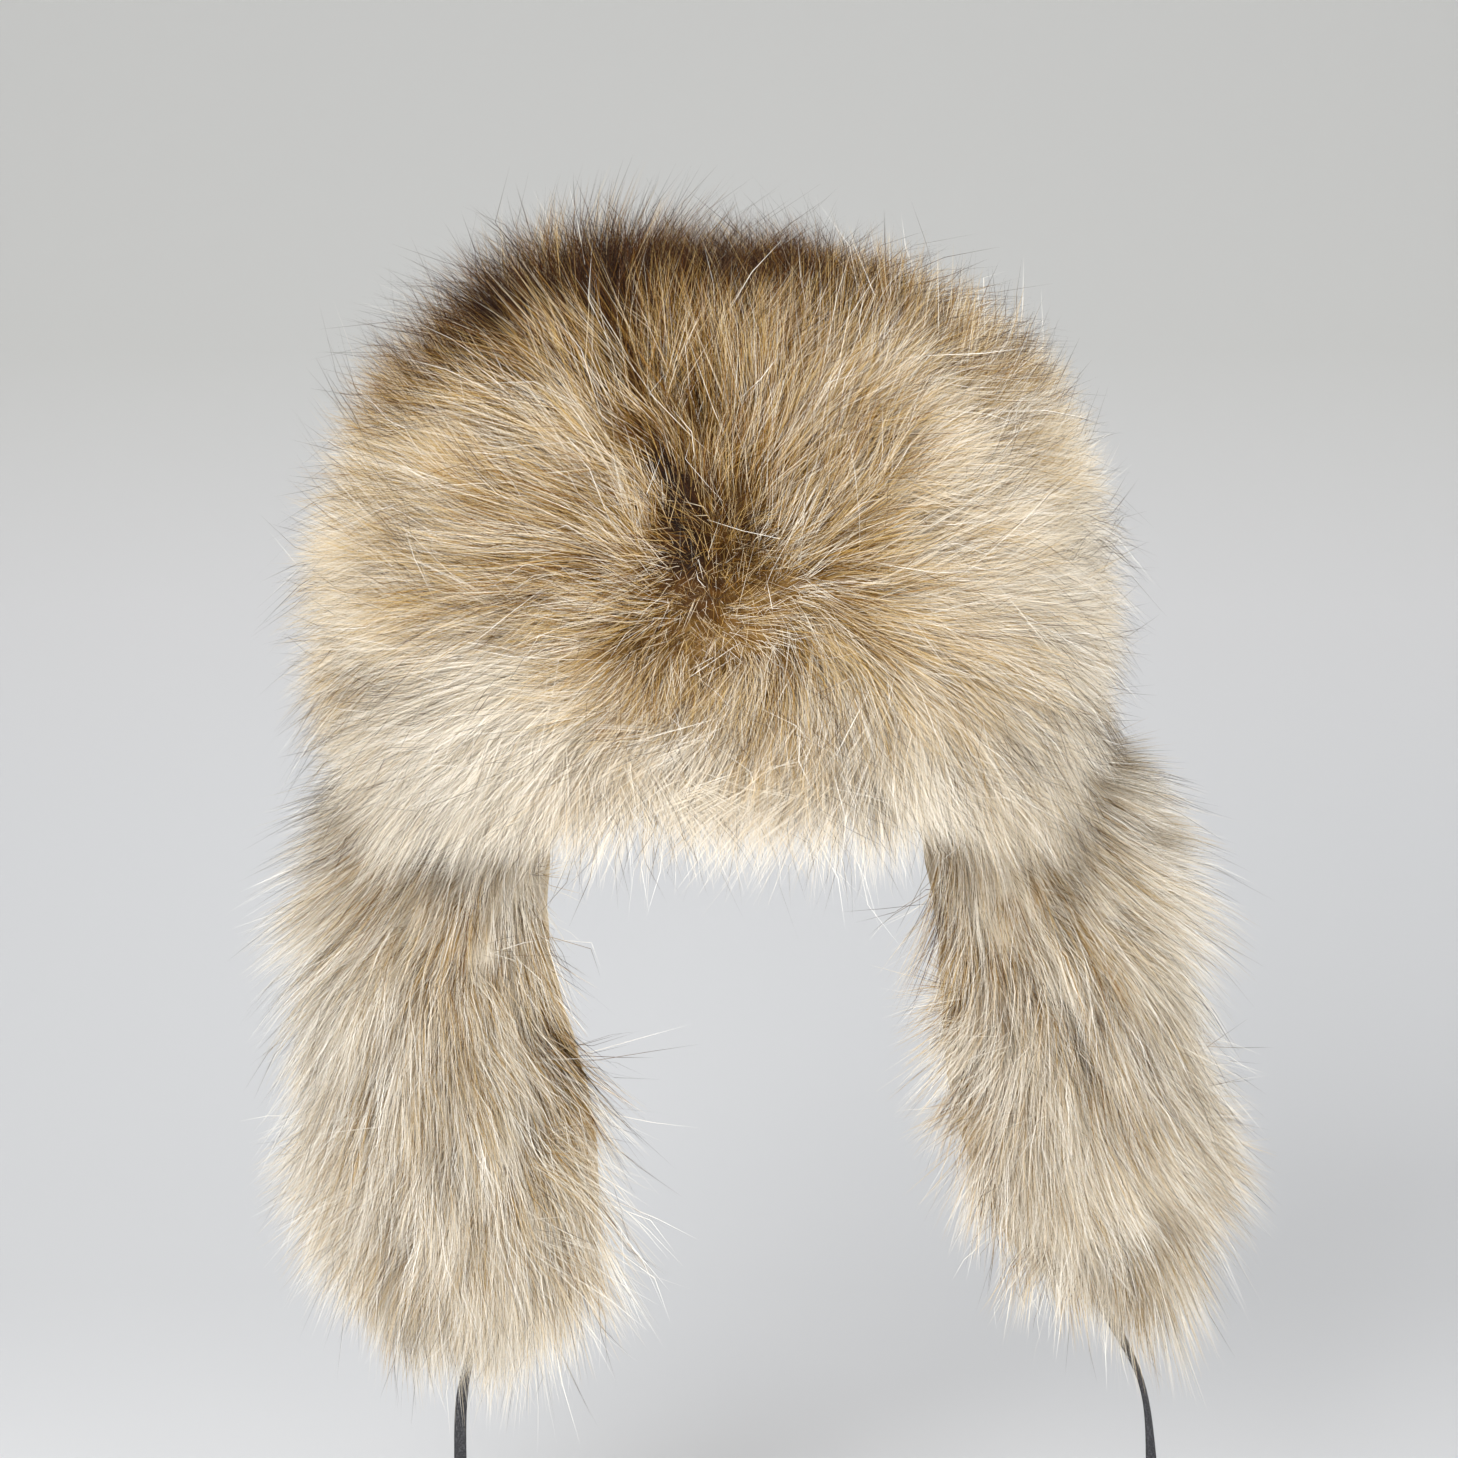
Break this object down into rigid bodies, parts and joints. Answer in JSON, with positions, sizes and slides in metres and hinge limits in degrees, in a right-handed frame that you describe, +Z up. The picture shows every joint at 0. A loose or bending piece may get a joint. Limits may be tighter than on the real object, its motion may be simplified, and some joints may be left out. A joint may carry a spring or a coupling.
{
  "type": "trooper hat",
  "caption": "Trooper hat of deep fur in its worn form, with a turned-up front flap, two hanging ear flaps and a narrow tie at the end of each.",
  "frame": {"origin": "highest point of the hollow that takes the head", "axes": "+Z up, front towards -Y, so the wearer's right is at -X and left at +X"},
  "size_m": [0.372, 0.3295, 0.4833],
  "materials": {
    "fur": "deep natural fur, golden brown with cream ends and dark tips",
    "hide": "tanned hide, matt",
    "tie": "near-black strip, satin"
  },
  "bodies": {
    "root": {"crown_top_wall": "hide", "crown_side_wall": "hide", "crown_fur": "fur", "front_flap_wall": "hide", "front_flap_fur": "fur", "ear_flap_right_wall": "hide", "ear_flap_right_fur": "fur", "ear_flap_left_wall": "hide", "ear_flap_left_fur": "fur", "tie_right": "tie", "tie_left": "tie"}
  },
  "joints": []
}
